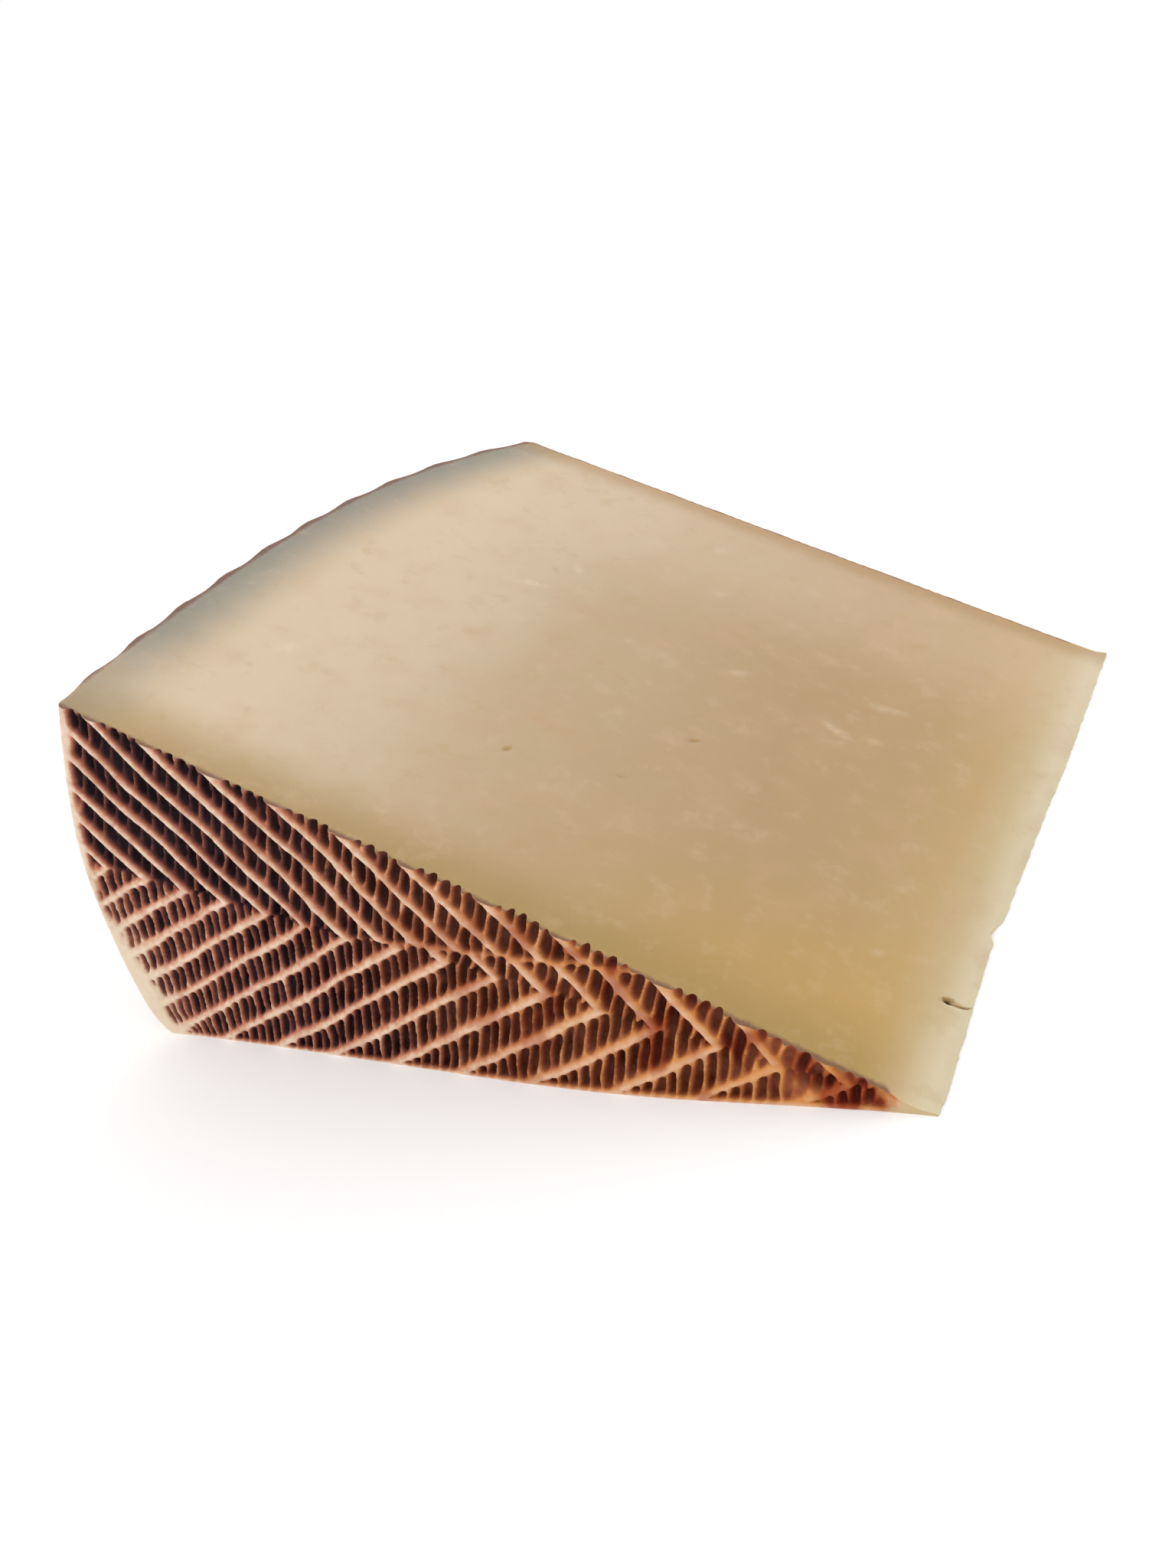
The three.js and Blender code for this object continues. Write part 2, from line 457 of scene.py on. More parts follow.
def pit_place(across, up, upper, count, seed):
    """Place along a row of pits, counted in pits."""
    offset = np.random.default_rng(seed + 4).random((64, 2))
    phase = offset[np.floor(count).astype(int) % 64, upper.astype(int)]
    walk = np.where(
        upper,
        along_arm(across, up, UPPER_ARM, UPPER_PIT),
        along_arm(across, up, LOWER_ARM, LOWER_PIT),
    )
    return (walk + 0.22 * swing(across, up, 1.9, seed + 5)) / PIT_PITCH + phase


def on_break(across, up, upper):
    """1 on the slip line and 0 off it."""
    line = smooth(0.55, 0.2, np.abs(below_break(across, up) - 0.1))
    line = line * upper * (across > BREAK_START[0] - 1)
    return line * smooth(BREAK_END[0] + 8, BREAK_END[0] + 2, across)


def herringbone(across, up, rim, depth, seed):
    """Depth of the imprint on a flat face. across is from the axis, along the wedge's X."""
    radius = np.hypot(across, up)
    crushed = smooth(*CRUSHED, radius)
    worn = smooth(rim - WORN[0], rim - WORN[1], radius)
    upper, count, spacing = arm_lines(across, up, rim, crushed, seed)
    off_ridge = (count - np.round(count)) * spacing
    ridge = np.abs(off_ridge)
    half = RIDGE_HALF * (1 - 0.35 * smooth(34, 14, radius))
    half = half + 0.12 * swing(across, up, 4, seed + 3)
    place = pit_place(across, up, upper, count, seed)
    strong = np.floor(place + 0.5) % 2
    wall = 0.2 - 0.12 * crushed + 0.17 * (1 - strong) + worn * np.where(upper, 0.3, -0.08)
    wall = np.clip(wall + 0.14 * swing(across, up, 1.3, seed + 6), 0.08, 1)
    shallow = 0.8 * crushed * noise(across, up, 2.3, seed + 10) + 0.25 * worn * ~upper
    deep = depth * (0.97 + 0.2 * swing(across, up, 1.6, seed + 7) - shallow)
    width = (spacing / 2 - ridge) / (spacing / 2 - half)
    relief = ladder(place, width, wall, deep) * smooth(half - 0.12, half + 0.3, ridge)
    # One flank of each ridge is pressed deeper, so the depth ramps colour it browner: partly a
    # real lean of the ridges, partly painted shade on the flank away from the light.
    slant = np.where(upper, off_ridge, -off_ridge)
    relief = relief + 0.16 * smooth(-0.3, 0.5, slant) * smooth(half + 0.4, half, ridge)
    relief = relief + 0.3 * crushed * noise(across, up, 1.7, seed + 11)
    line = on_break(across, up, upper)
    relief = relief * (1 - 0.75 * line) + 0.12 * line
    edge = rim - RIM_BAND - 1.7 * smooth(20, 6, up) - 0.7 * swing(across, up, 3.2, seed + 8)
    relief = relief * smooth(edge + 0.6, edge - 0.6, radius)
    relief = relief * (1 - 0.35 * smooth(edge - 7, edge, radius) * smooth(24, 14, up))
    return relief * smooth(*NOTHING, radius) + 0.05 * swing(across, up, 0.6, seed + 9)


def averaged(pattern, across, up, cell, *rest):
    """A pattern averaged over the mesh's cells, so that the mesh follows its edges evenly."""
    steps = (-cell * 0.4, 0, cell * 0.4)
    total = sum(pattern(across + a, up + b, *rest) for a in steps for b in steps)
    return total / len(steps) ** 2


ZIGZAG_SHIFT = 6.0
ZIGZAG_PITCH = 4.8
ZIGZAG_LEAN = 0.82         # the rows' true spacing, as a share of their pitch round the side
ZIGZAG_RIDGE = 0.55
RUNG_PITCH = 2.1 / 1.22


def plait(around, along, seed):
    """Depth of the zigzag imprint round the side, by distance round it and from the front."""
    turn = (along - FIRST_ROW / MM) / (ROW_PITCH / MM)
    wave = np.abs((turn + 1) % 2 - 1) - 0.5
    drift = 0.35 * swing(around, along, 7, seed)
    place = (around + ZIGZAG_SHIFT * wave + drift) / ZIGZAG_PITCH
    spacing = ZIGZAG_PITCH * ZIGZAG_LEAN
    ridge = np.abs(place - np.round(place)) * spacing
    offset = np.random.default_rng(seed + 1).random(64)
    phase = offset[np.floor(place).astype(int) % 64]
    rung = along / RUNG_PITCH + phase + 0.2 * swing(around, along, 2, seed + 2)
    width = (spacing / 2 - ridge) / (spacing / 2 - ZIGZAG_RIDGE)
    pits = ladder(rung, width, 0.35 + 0.1 * swing(around, along, 1.5, seed + 3), 0.75)
    height = HEIGHT / MM
    ends = smooth(0.8, 2.2, along) * smooth(height - 0.8, height - 2.2, along)
    return pits * smooth(0.45, 0.95, ridge) * ends


# ---- Shaping the surface ---------------------------------------------------------------------

IN_FACE = 0.001 * MM       # a point this near to a flat face belongs to it
ON_SIDE = 0.03 * MM        # the same for the barrel side

# Depth of the crumbled tip edge by distance from the front face, in millimetres.
CHIP_PLACES = (0, 5, 14, 22, 25.4, 26.9, 28, 29.5, 50, 60, 62, 91)
CHIP_DEPTHS = (0, 0, 0.45, 0.75, 0.8, 1.4, 1.15, 0.65, 0.35, 0.05, 0, 0)


def shape_rims(rows, on_front, on_back, on_side, radius, rim):
    """Rounds the rims, from the flat faces and from the side to a shared line between them."""
    grow = np.zeros(len(rows))
    sink = np.zeros(len(rows))
    turn = math.pi / 4
    for mask in (on_front, on_back):
        share = np.clip((radius - (rim - RIM_ROUND)) / RIM_ROUND, 0, 1) * mask * ~on_side
        grow += RIM_ROUND * (np.sin(share * turn) - share) * (share > 0)
        sink += RIM_ROUND * (1 - np.cos(share * turn))
    near = np.minimum(rows[:, 1] - FRONT, BACK - rows[:, 1])
    share = np.clip(1 - near / RIM_ROUND, 0, 1) * on_side
    grow -= RIM_ROUND * (1 - np.cos(share * turn))
    sink += RIM_ROUND * (share - np.sin(share * turn)) * (share > 0)
    return grow, sink


def imprint(obj, sizes):
    """Presses the mould's imprint into the flat faces and the side, and records its depth."""
    rows = points(obj.data)
    radius, angle = polar(rows)
    along = rows[:, 1] - FRONT
    barrel = side_radius(rows[:, 1])
    on_front = along < IN_FACE
    on_back = HEIGHT - along < IN_FACE
    on_side = (radius > barrel - ON_SIDE) & ~on_front & ~on_back
    rim = np.where(along < HEIGHT / 2, FRONT_RIM, BACK_RIM)
    grow, sink = shape_rims(rows, on_front, on_back, on_side, radius, rim)
    across, up = (rows[:, 0] - AXIS_X) / MM, rows[:, 2] / MM
    relief = np.zeros(len(rows))
    cells = [cell / MM for cell in (sizes.front_cell, sizes.back_cell, sizes.side_cell)]
    depth = sizes.pit_depth / MM
    front = averaged(herringbone, across, up, cells[0], FRONT_RIM / MM, depth, 11)
    back = averaged(herringbone, across, up, cells[1], BACK_RIM / MM, depth, 57)
    side = averaged(plait, angle * FRONT_RIM / MM, along / MM, cells[2], 83)
    top = -(rows[:, 0] - AXIS_X) * math.sin(WEDGE_ANGLE) - rows[:, 2] * math.cos(WEDGE_ANGLE)
    top, bottom = top / MM, rows[:, 2] / MM
    bite = 0.5 + 0.4 * smooth(-75, -45, across)
    front = front * (bite + (1 - bite) * smooth(0, 0.9, top)) * smooth(0.0, 0.4, bottom)
    back = back * (0.1 + 0.9 * smooth(0.2, 1.4, top)) * smooth(0.2, 1.2, bottom)
    side = side * (0.1 + 0.9 * smooth(0.3, 1.8, top)) * smooth(0.3, 1.8, bottom)
    relief[on_front] = front[on_front]
    relief[on_back] = back[on_back]
    relief[on_side] = side[on_side]
    press = np.where(on_side, 0, relief) * MM + sink
    rows[:, 1] += np.where(along < HEIGHT / 2, press, -press)
    target = radius + grow - np.where(on_side, relief, 0) * MM
    scale = np.where(on_front | on_back | on_side, target / np.maximum(radius, MM), 1)
    rows[:, 0] = AXIS_X + (rows[:, 0] - AXIS_X) * scale
    rows[:, 2] *= scale
    move_points(obj.data, rows)
    layer = obj.data.attributes.new("imprint", "FLOAT", "POINT")
    layer.data.foreach_set("value", relief.astype(np.float32))


def shape_tip(obj):
    """Draws the tip edge out to its lip and crumbles part of it."""
    rows = points(obj.data)
    root = AXIS_X - LIP_ROOT
    tip = rows[:, 0] > root - ON_PLANE
    along = (rows[:, 1] - FRONT) / MM
    chip = np.interp(along, CHIP_PLACES, CHIP_DEPTHS)
    crumbs = 0.16 * noise(along, 0 * along, 1.1, 5) + 0.12 * noise(along, 0 * along, 0.45, 6)
    reach = TIP_LIP - (chip + crumbs - 0.1) * MM
    top = np.where(reach > -LIP_ROOT, TIP_LAND, 0)
    share = np.clip(rows[:, 2] / (LIP_ROOT * math.tan(WEDGE_ANGLE)), 0, 1)
    slope = np.maximum(-reach * math.tan(WEDGE_ANGLE), top)
    rows[tip, 0] = (AXIS_X + reach)[tip]
    rows[tip, 2] = (share * slope)[tip]
    move_points(obj.data, rows)


# How far the foot of the front face stands forward, by distance from the axis, in millimetres.
FOOT_PLACES = (0, 5, 11, 18, 26, 35, 45, 60, 80, 92)
FOOT_REACHES = (0.2, 0.35, 0.7, 1.2, 1.75, 2.0, 1.85, 1.2, 0.35, 0)
FOOT_HEIGHT = 7.0
FOOT_REACH_BACK = 10.0

SWELL, SWELL_ANGLE, SWELL_SPREAD = 1.1, 14.5, 8      # millimetres and two angles in degrees
CORNER, CORNER_HEIGHT = 2.2, 2.2
OUTLINE_BAND = (14, 1)     # from the rim, where these start and are full


def ease_outline(obj):
    """Swells the rim halfway up, rounds its lower corner and lets the front's foot spread."""
    rows = points(obj.data)
    radius, angle = polar(rows)
    swell = SWELL * np.exp(-((np.degrees(angle) - SWELL_ANGLE) / SWELL_SPREAD) ** 2)
    corner = CORNER * np.exp(-rows[:, 2] / (CORNER_HEIGHT * MM))
    rim = barrel_radius(rows[:, 1])
    share = smooth(rim - OUTLINE_BAND[0] * MM, rim - OUTLINE_BAND[1] * MM, radius)
    scale = 1 + share * (swell - corner) * MM / np.maximum(radius, MM)
    rows[:, 0] = AXIS_X + (rows[:, 0] - AXIS_X) * scale
    rows[:, 2] = rows[:, 2] * scale
    foot = np.interp((AXIS_X - rows[:, 0]) / MM, FOOT_PLACES, FOOT_REACHES)
    foot = foot * np.exp(-(rows[:, 2] / MM / FOOT_HEIGHT) ** 2)
    rows[:, 1] -= foot * MM * smooth(FRONT + FOOT_REACH_BACK * MM, FRONT, rows[:, 1])
    move_points(obj.data, rows)


# Marks in the upper cut: place (from the axis, from the front), half length and half width in
# millimetres, rise towards the tip in degrees, height (below zero for a hole).
MARKS = (
    (86.6, 23.9, 1.5, 0.99, 24, 0.13),
    (70.3, 55.3, 2.2, 0.76, 24, 0.11),
    (66.9, 62.4, 1.7, 0.72, -50, 0.10),
    # a shallow dent for the shadow beside the streak above; the paste paints it darker as shade
    (69.2, 60.4, 1.5, 0.60, -40, -0.10),
    (62.8, 68.9, 1.2, 0.90, -30, 0.08),
    (53.1, 80.2, 1.3, 1.08, 40, 0.08),
    (49.0, 69.6, 1.2, 0.90, 10, 0.07),
    (77.2, 59.9, 1.3, 0.90, -12, 0.06),
    (21.9, 58.3, 2.6, 0.90, 14, 0.10),
    (25.9, 50.2, 2.2, 0.90, -20, 0.11),
    (21.3, 50.9, 1.3, 0.81, 5, 0.08),
    (40.6, 53.6, 2.0, 0.72, 32, 0.08),
    (54.4, 51.4, 0.8, 0.72, 0, 0.07),
    (52.2, 39.9, 1.2, 0.63, 32, 0.07),
    (60.5, 39.2, 1.4, 0.90, -38, 0.06),
    (72.2, 29.6, 0.9, 0.81, 70, 0.06),
    (10.6, 16.8, 0.9, 0.72, 20, 0.07),
    (39.7, 37.7, 0.9, 0.42, 36, -0.24),
    (56.9, 23.0, 0.8, 0.44, 70, -0.24),
    (44.0, 26.4, 0.9, 0.45, 20, -0.12),
    # the crack near the tip; its depth paints it near black, as shade inside it
    (2.5, 14.7, 0.5, 0.32, 0, -0.90),
    (1.0, 14.5, 1.8, 0.14, 4, -0.80),
)


MARK_MARGIN = 0.8          # the mesh is refined this far round a mark, in millimetres
MARK_SHARE = 0.22
MARK_CUTS = 3


def near_marks(rows, margin):
    """How much of the nearest marks each point has, and the height they give it."""
    radius = polar(rows)[0] / MM
    along = (rows[:, 1] - FRONT) / MM
    tone = np.zeros(len(rows))
    height = np.zeros(len(rows))
    for reach, place, long, wide, rise, lift in MARKS:
        turn = math.radians(rise)
        right, up = reach - radius, along - place
        a = (right * math.cos(turn) + up * math.sin(turn)) / (long + margin)
        b = (up * math.cos(turn) - right * math.sin(turn)) / (wide + margin)
        share = np.exp(-(a ** 2 + b ** 2))
        tone += share
        height += share * lift
    ragged = 0.55 + 0.9 * noise(radius, along, 0.55, 21)
    return tone, height * ragged


def refine_marks(obj):
    """Cuts the faces of the upper cut finer round the marks."""
    mesh = obj.data
    centres = np.empty(len(mesh.polygons) * 3)
    mesh.polygons.foreach_get("center", centres)
    centres = centres.reshape(-1, 3)
    on_cut = at_angle(WEDGE_ANGLE)(centres)
    near = on_cut & (near_marks(centres, MARK_MARGIN)[0] > MARK_SHARE)
    mesh.vertices.foreach_set("select", np.zeros(len(mesh.vertices), dtype=bool))
    mesh.edges.foreach_set("select", np.zeros(len(mesh.edges), dtype=bool))
    mesh.polygons.foreach_set("select", near)
    bpy.context.view_layer.objects.active = obj
    bpy.ops.object.mode_set(mode="EDIT")
    bpy.ops.mesh.select_mode(type="FACE")
    bpy.ops.mesh.subdivide(number_cuts=MARK_CUTS)
    done()


def raise_marks(obj):
    """Lifts and sinks the marks, and records their height in millimetres."""
    rows = points(obj.data)
    on_cut = at_angle(WEDGE_ANGLE)(rows)
    lift = near_marks(rows, 0)[1] * on_cut
    height = lift * MM
    rows[:, 0] += height * math.sin(WEDGE_ANGLE)
    rows[:, 2] += height * math.cos(WEDGE_ANGLE)
    move_points(obj.data, rows)
    layer = obj.data.attributes.new("mark", "FLOAT", "POINT")
    layer.data.foreach_set("value", lift.astype(np.float32))


def mark_cut_faces(obj):
    """Gives the faces of the two cuts the second material slot."""
    mesh = obj.data
    centres = np.empty(len(mesh.polygons) * 3)
    normals = np.empty(len(mesh.polygons) * 3)
    mesh.polygons.foreach_get("center", centres)
    mesh.polygons.foreach_get("normal", normals)
    centres, normals = centres.reshape(-1, 3), normals.reshape(-1, 3)
    cut = np.zeros(len(centres), dtype=bool)
    for angle in (0, WEDGE_ANGLE):
        off = (centres[:, 0] - AXIS_X) * math.sin(angle) + centres[:, 2] * math.cos(angle)
        facing = normals[:, 0] * math.sin(angle) + normals[:, 2] * math.cos(angle)
        cut |= (np.abs(off) < STRAY) & (np.abs(facing) > 0.98)
    cut |= (centres[:, 0] > AXIS_X - LIP_ROOT - ON_PLANE)
    mesh.polygons.foreach_set("material_index", cut.astype(np.int32))


# ---- Materials -------------------------------------------------------------------------------


def colour(code):
    """A colour from its usual six hexadecimal digits."""
    channels = [int(code[i:i + 2], 16) / 255 for i in (0, 2, 4)]
    linear = [c / 12.92 if c <= 0.04045 else ((c + 0.055) / 1.055) ** 2.4 for c in channels]
    return (*linear, 1.0)


class Number:
    """A number inside a material. Python's operators on it add Math nodes."""

    def __init__(self, recipe, socket):
        self.recipe = recipe
        self.socket = socket

    def maths(self, operation, first, second):
        inputs = {0: first, 1: second}
        return self.recipe.node("ShaderNodeMath", {"operation": operation}, inputs)

    def __add__(self, other):
        return self.maths("ADD", self, other)

    __radd__ = __add__

    def __sub__(self, other):
        return self.maths("SUBTRACT", self, other)

    def __rsub__(self, other):
        return self.maths("SUBTRACT", other, self)

    def __mul__(self, other):
        return self.maths("MULTIPLY", self, other)

    __rmul__ = __mul__

    def __pow__(self, other):
        return self.maths("POWER", self, other)

    def least(self, other):
        return self.maths("MINIMUM", self, other)

    def most(self, other):
        return self.maths("MAXIMUM", self, other)


class Recipe:
    """One material, built round its Principled shader."""

    def __init__(self, name, **constants):
        self.material = bpy.data.materials.new(name)
        self.material.use_nodes = True
        self.tree = self.material.node_tree
        self.shader = self.tree.nodes["Principled BSDF"]
        for socket, value in constants.items():
            self.shader.inputs[socket.replace("_", " ")].default_value = value

    def node(self, kind, settings=None, inputs=None, output=0):
        """Adds a node, sets it, feeds its sockets and gives one of its outputs."""
        node = self.tree.nodes.new(kind)
        for key, value in (settings or {}).items():
            if key == "stops":
                self.set_stops(node.color_ramp, value)
            else:
                setattr(node, key, value)
        for key, value in (inputs or {}).items():
            self.feed(node.inputs[key], value)
        return Number(self, node.outputs[output])

    def set_stops(self, ramp, stops):
        """Gives a colour ramp its stops, as pairs of a place and a colour."""
        while len(ramp.elements) < len(stops):
            ramp.elements.new(0.5)
        for element, (place, shade) in zip(ramp.elements, stops):
            element.position = place
            element.color = shade

    def feed(self, socket, value):
        """Links a number to a socket, or sets the socket to a plain value."""
        if isinstance(value, Number):
            self.tree.links.new(value.socket, socket)
        else:
            socket.default_value = value

    def place(self):
        """The three coordinates of a point, in metres."""
        whole = self.node("ShaderNodeTexCoord", output="Object")
        return [self.node("ShaderNodeSeparateXYZ", None, {0: whole}, axis) for axis in range(3)]

    def noise(self, vector, size, detail=2.0, roughness=0.5):
        """Noise from 0 to 1 with features about as large as size."""
        inputs = {"Vector": vector, "Scale": 1 / size, "Detail": detail, "Roughness": roughness}
        return self.node("ShaderNodeTexNoise", None, inputs)

    def fade(self, value, low, high):
        """0 where the value is below low, 1 above high. low may be the larger one."""
        inputs = {"Value": value, "From Min": low, "From Max": high}
        return self.node("ShaderNodeMapRange", {"interpolation_type": "SMOOTHSTEP"}, inputs)

    def mix(self, share, first, second, blend="MIX"):
        """Mixes two colours."""
        settings = {"data_type": "RGBA", "blend_type": blend}
        return self.node("ShaderNodeMix", settings, {0: share, 6: first, 7: second}, 2)

    def ramp(self, value, stops):
        """A colour from a value between 0 and 1."""
        return self.node("ShaderNodeValToRGB", {"stops": stops}, {0: value})

    def vector(self, x, y, z):
        return self.node("ShaderNodeCombineXYZ", None, {0: x, 1: y, 2: z})

    def bump(self, height, strength, distance):
        inputs = {"Height": height, "Strength": strength, "Distance": distance}
        self.feed(self.shader.inputs["Normal"], self.node("ShaderNodeBump", None, inputs))

    def colour_from(self, value):
        self.feed(self.shader.inputs["Base Color"], value)


DEEPEST = 1.4              # depth of the imprint, in millimetres, at the ramps' last stop


def make_rind(look):
    """The pressed outside: tan ridges, orange-brown walls and dark pits. The pits are darker
    with depth: partly their own colour, partly painted shade.
    """
    rind = Recipe("pressed_rind", Specular_IOR_Level=0.12, Coat_Roughness=0.32)
    x, y, z = rind.place()
    whole = rind.vector(x, y, z)
    layer = rind.node("ShaderNodeAttribute", {"attribute_name": "imprint"}, None, 2)
    fine = rind.noise(whole, 0.6 * MM, 3)
    broad = rind.noise(whole, 5 * MM, 2)
    depth = (layer + (fine - 0.5) * 0.22) * (1 / DEEPEST)
    warm = rind.fade(x + (broad - 0.5) * 30 * MM, -26 * MM, 34 * MM)
    # Both ramps colour by depth: the pits' own dark maroon, plus painted shade that darkens them
    # towards their bottoms.
    cool_ramp = rind.ramp(depth, [
        (0.0, look.ridge),
        (0.07, colour("d0a184")),
        (0.15, colour("b9755a")),
        (0.27, colour("8e5342")),
        (0.42, colour("522c2a")),
        (0.60, colour("221016")),
        (1.0, colour("13080d")),
    ])
    warm_ramp = rind.ramp(depth, [
        (0.0, colour("d9a884")),
        (0.08, colour("d09a6c")),
        (0.17, colour("cf8c4c")),
        (0.30, colour("ac6838")),
        (0.46, colour("924e32")),
        (0.66, colour("784028")),
        (1.0, colour("5c3020")),
    ])
    base = rind.mix(warm, cool_ramp, warm_ramp)
    blotch = rind.fade(broad, 0.44, 0.62) * (0.2 + 0.75 * warm * warm)
    base = rind.mix(blotch, base, colour("bd7a6a"), "MULTIPLY")
    across = AXIS_X - x
    low_rim = rind.fade(across + (broad - 0.5) * 3 * MM, 91 * MM, 97 * MM)
    low_rim = low_rim * rind.fade(z, 26 * MM, 10 * MM) * rind.fade(depth, 0.3, 0.1)
    base = rind.mix(low_rim * 0.8, base, colour("dccbaf"))
    plain = rind.fade(across + z + (fine - 0.5) * 1.5 * MM, 5.5 * MM, 3 * MM)
    base = rind.mix(plain, base, look.tip)
    rind.colour_from(base)
    rind.feed(rind.shader.inputs["Roughness"], 0.42 + 0.3 * fine)
    rind.feed(rind.shader.inputs["Coat Weight"], rind.fade(depth, 0.16, 0.02) * 0.35)
    rind.bump(rind.noise(whole, 0.25 * MM, 3), 0.3, 0.08 * MM)
    return rind.material


def make_paste(look):
    """The cut inside: ivory to tan, greyer next to the side, more yellow next to the front."""
    paste = Recipe(
        "cut_paste",
        Specular_IOR_Level=0.35,
        Subsurface_Weight=0.2,
        Subsurface_Radius=(1.0, 0.55, 0.25),
        Subsurface_Scale=2 * MM,
    )
    x, y, z = paste.place()
    whole = paste.vector(x, y, z)
    across = x - AXIS_X
    radius = (across * across + z * z) ** 0.5
    from_front = y - FRONT
    from_back = BACK - y
    share = from_front * (1 / HEIGHT)
    rise = paste.fade(share, -WIDEST, WIDEST) * BARREL_SWELL
    drop = ((share - WIDEST).most(0) * (1 / (1 - WIDEST))) ** BARREL_CURVE * BARREL_DROP
    from_side = FRONT_RIM + rise - drop - radius
    cloud = paste.noise(whole, 20 * MM, 3)
    patch = paste.noise(whole, 6 * MM, 3)
    grain = paste.noise(whole, 0.8 * MM, 3)
    wander = radius + (cloud - 0.5) * paste.fade(radius, 4 * MM, 30 * MM) * 14 * MM
    base = paste.ramp(wander * 10, [
        (0.012, colour("d3c3a2")),
        (0.04, look.tip),
        (0.08, colour("bd9e6c")),
        (0.15, colour("b69668")),
        (0.30, colour("b2946b")),
        (0.46, colour("b79c77")),
        (0.60, colour("bea583")),
        (0.71, colour("cab496")),
        (0.84, look.paste),
    ])
    base = paste.mix(paste.fade(patch, 0.45, 0.75) * 0.3, base, colour("c49f80"))
    inland = paste.fade(radius, 2.5 * MM, 9 * MM)
    gold = paste.fade(radius, 60 * MM, 10 * MM) * paste.fade(from_front, 28 * MM, 4 * MM)
    base = paste.mix(gold * inland * 0.55, base, colour("be9746"))
    near = paste.fade(from_front + (patch - 0.5) * 3 * MM, 10 * MM, 0.5 * MM) * inland
    base = paste.mix(near * 0.75, base, colour("a4864c"))
    grey = paste.fade(from_side + (patch - 0.5) * 3 * MM, 10.5 * MM, 0)
    grey = grey * (0.5 + 0.5 * paste.fade(from_front, 3 * MM, 22 * MM))
    base = paste.mix(grey * 0.95, base, paste.mix(cloud, colour("857c72"), colour("8c8c7e")))
    pale = paste.fade(from_back, 34 * MM, 8 * MM) * paste.fade(radius, 88 * MM, 68 * MM)
    base = paste.mix(pale * 0.3, base, colour("e0c8ac"))
    far = paste.fade(from_back + (patch - 0.5) * 2 * MM, 5 * MM, 0.5 * MM)
    base = paste.mix(far * 0.6, base, colour("a9834f"))
    mark = paste.node("ShaderNodeAttribute", {"attribute_name": "mark"}, None, 2)
    streak = paste.noise(paste.vector(radius, y * 3.2, z * 0.3), 2.6 * MM, 2)
    cluster = paste.fade(patch, 0.45, 0.7)
    mottle = paste.noise(whole, 3.5 * MM, 4, 0.65)
    base = paste.mix(paste.fade(mottle, 0.52, 0.72) * 0.15, base, colour("d9bfa4"))
    base = paste.mix(paste.fade(mottle, 0.46, 0.3) * 0.2, base, colour("b4935c"))
    flecks = paste.fade(streak, 0.55, 0.8) * cluster * 0.1
    base = paste.mix(flecks, base, colour("d8c4a4"))
    base = paste.mix(paste.fade(mark, 0, 0.16) * 0.42, base, colour("dccab0"))
    # Sunken marks are painted browner and the deepest, the crack near the tip, near black:
    # painted shade inside the dents and the crack.
    base = paste.mix(paste.fade(mark, -0.03, -0.2) * 0.6, base, colour("a67f3c"))
    base = paste.mix(paste.fade(mark, -0.35, -0.65) * 0.85, base, colour("2c1a10"))
    skin = from_side.least(from_back + 0.3 * MM).least(from_front) + (grain - 0.5) * 0.6 * MM
    skin = skin + paste.fade(radius, 5 * MM, 3 * MM) * 2 * MM
    base = paste.mix(paste.fade(skin, 0.9 * MM, 0.25 * MM) * 0.8, base, colour("6d4436"))
    paste.colour_from(base)
    paste.feed(paste.shader.inputs["Roughness"], 0.36 + 0.2 * patch)
    paste.bump(grain + patch * 2 + cloud * 6, 0.25, 0.12 * MM)
    return paste.material


def shade(name, description, code):
    """A colour that a user can set."""
    return bpy.props.FloatVectorProperty(
        name=name,
        description=description,
        default=colour(code),
        size=4,
        min=0,
        max=1,
        subtype="COLOR",
    )


class CheeseLook(bpy.types.PropertyGroup):
    """Colours that a user would change."""

    paste: shade("Paste", "Colour of the cut cheese on its pale side", "d4bea0")
    tip: shade("Tip", "Colour of the cut cheese near the thin edge", "c4ad82")
    ridge: shade("Ridge", "Colour of the ridges between the pits, near the rim", "e2c8b0")


# ---- The studio ------------------------------------------------------------------------------

CAMERA_AZIMUTH = math.radians(34.79)      # 0 looks along +Y
CAMERA_ELEVATION = math.radians(26.65)
CAMERA_ROLL = math.radians(-18.04)
CAMERA_DISTANCE = 181.33 * MM
CAMERA_AIM = Vector((-1.16, -7.21, -11.19)) * MM      # from the middle of the wedge's box
CAMERA_LENS = 33.45
FLOOR_RADIUS = 8
LIGHTS = (                                          # name, place, size in metres, watts
    ("key", (-0.5, -0.35, 0.6), 0.5, 1.3),
    ("fill", (0.6, -0.4, 0.7), 0.8, 0.2),
)


def add_camera():
    """The scene's camera, aimed by its angles round the wedge."""
    middle = (LOW + HIGH) / 2
    away = Vector((
        math.sin(CAMERA_AZIMUTH) * math.cos(CAMERA_ELEVATION),
        -math.cos(CAMERA_AZIMUTH) * math.cos(CAMERA_ELEVATION),
        math.sin(CAMERA_ELEVATION),
    ))
    bpy.ops.object.camera_add(location=middle + CAMERA_AIM + away * CAMERA_DISTANCE)
    camera = bpy.context.object
    camera.name = "camera"
    turn = away.to_track_quat("Z", "Y") @ Quaternion((0, 0, 1), CAMERA_ROLL)
    camera.rotation_euler = turn.to_euler()
    camera.data.lens = CAMERA_LENS
    camera.data.clip_start = 0.01
    bpy.context.scene.camera = camera


def add_light(name, place, size, power):
    """A soft square light aimed at the wedge."""
    bpy.ops.object.light_add(type="AREA", location=place)
    light = bpy.context.object
    light.name = name
    light.data.energy = power
    light.data.size = size
    light.rotation_euler = Vector(place).to_track_quat("Z", "Y").to_euler()


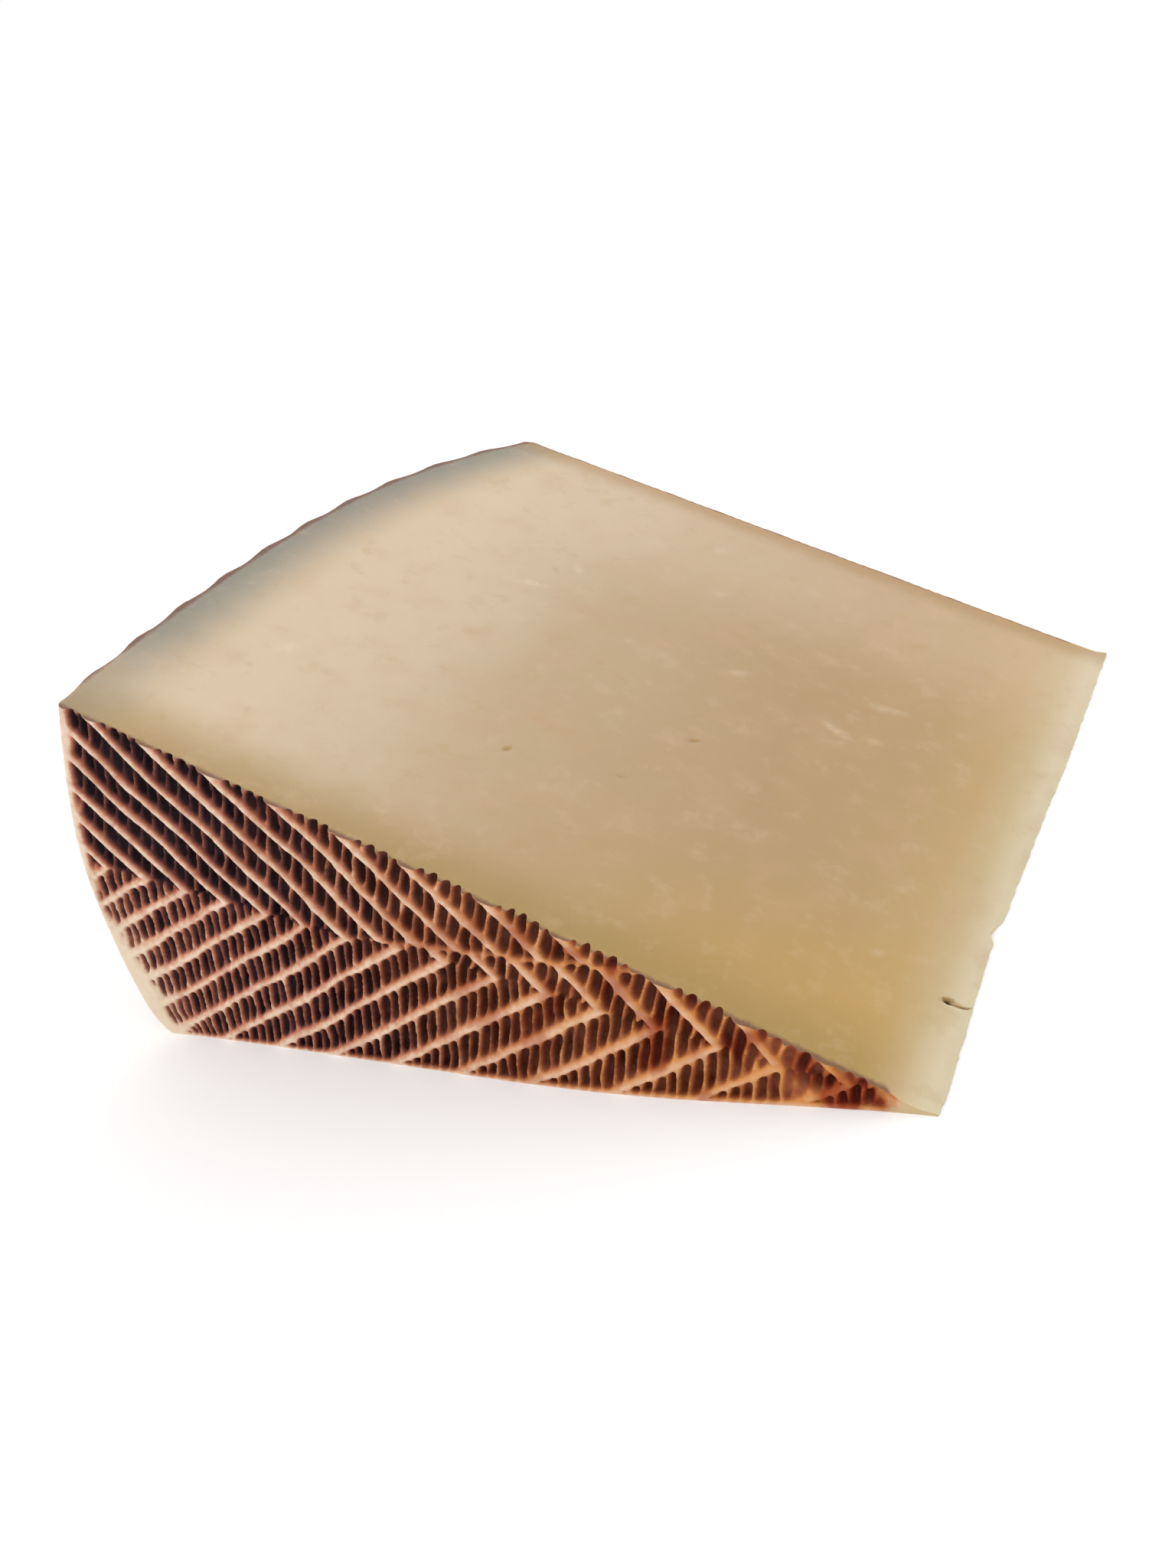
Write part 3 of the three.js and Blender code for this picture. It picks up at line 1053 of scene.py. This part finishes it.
def add_stage():
    """The pale floor, the white surroundings and the lights."""
    bpy.ops.object.select_all(action="DESELECT")
    bpy.ops.mesh.primitive_circle_add(vertices=96, radius=FLOOR_RADIUS, fill_type="NGON")
    floor = bpy.context.object
    floor.name = "floor"
    pale = Recipe("pale_floor", Base_Color=(1, 1, 1, 1), Roughness=1.0)
    floor.data.materials.append(pale.material)
    world = bpy.data.worlds.new("studio")
    world.use_nodes = True
    world.node_tree.nodes["Background"].inputs["Color"].default_value = (1, 1, 1, 1)
    world.node_tree.nodes["Background"].inputs["Strength"].default_value = 1.0
    bpy.context.scene.world = world
    bpy.context.scene.view_settings.view_transform = "Standard"
    for light in LIGHTS:
        add_light(*light)


# ---- Operators and panel ---------------------------------------------------------------------


SHARP_ANGLE = math.radians(38)


class CHEESE_OT_wedge(bpy.types.Operator):
    """Model the wedge, with its imprint and its cut faces"""

    bl_idname = "cheese.wedge"
    bl_label = "Cheese wedge"
    bl_options = {"REGISTER", "UNDO"}

    def execute(self, context):
        sizes = context.scene.cheese_sizes
        look = context.scene.cheese_look
        wedge = build_shell(sizes)
        wedge.data.materials.append(make_rind(look))
        wedge.data.materials.append(make_paste(look))
        mark_cut_faces(wedge)
        imprint(wedge, sizes)
        ease_outline(wedge)
        refine_marks(wedge)
        raise_marks(wedge)
        shape_tip(wedge)
        edit(wedge)
        bpy.ops.mesh.select_all(action="SELECT")
        bpy.ops.mesh.quads_convert_to_tris(quad_method="SHORTEST_DIAGONAL", ngon_method="BEAUTY")
        done()
        bpy.ops.object.shade_smooth_by_angle(angle=SHARP_ANGLE)
        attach(wedge, "root")
        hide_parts("cheese_wedge")
        return {"FINISHED"}


class CHEESE_OT_studio(bpy.types.Operator):
    """Add the floor, the lights and the camera"""

    bl_idname = "cheese.studio"
    bl_label = "Studio"
    bl_options = {"REGISTER", "UNDO"}

    def execute(self, context):
        add_stage()
        add_camera()
        return {"FINISHED"}


class CHEESE_PT_panel(bpy.types.Panel):
    """Lists the cheese's settings and operators"""

    bl_label = "Cheese wedge"
    bl_space_type = "VIEW_3D"
    bl_region_type = "UI"
    bl_category = "Cheese"

    def draw(self, context):
        layout = self.layout
        for group in (context.scene.cheese_sizes, context.scene.cheese_look):
            column = layout.column(align=True)
            for name in type(group).__annotations__:
                column.prop(group, name)
        layout.operator(CHEESE_OT_wedge.bl_idname)
        layout.operator(CHEESE_OT_studio.bl_idname)


CLASSES = (CheeseSizes, CheeseLook, CHEESE_OT_wedge, CHEESE_OT_studio, CHEESE_PT_panel)


def register():
    for cls in CLASSES:
        bpy.utils.register_class(cls)
    bpy.types.Scene.cheese_sizes = bpy.props.PointerProperty(type=CheeseSizes)
    bpy.types.Scene.cheese_look = bpy.props.PointerProperty(type=CheeseLook)


def unregister():
    del bpy.types.Scene.cheese_look
    del bpy.types.Scene.cheese_sizes
    for cls in reversed(CLASSES):
        bpy.utils.unregister_class(cls)


def main():
    register()
    bpy.ops.cheese.studio()
    bpy.ops.cheese.wedge()


if __name__ == "__main__":
    main()
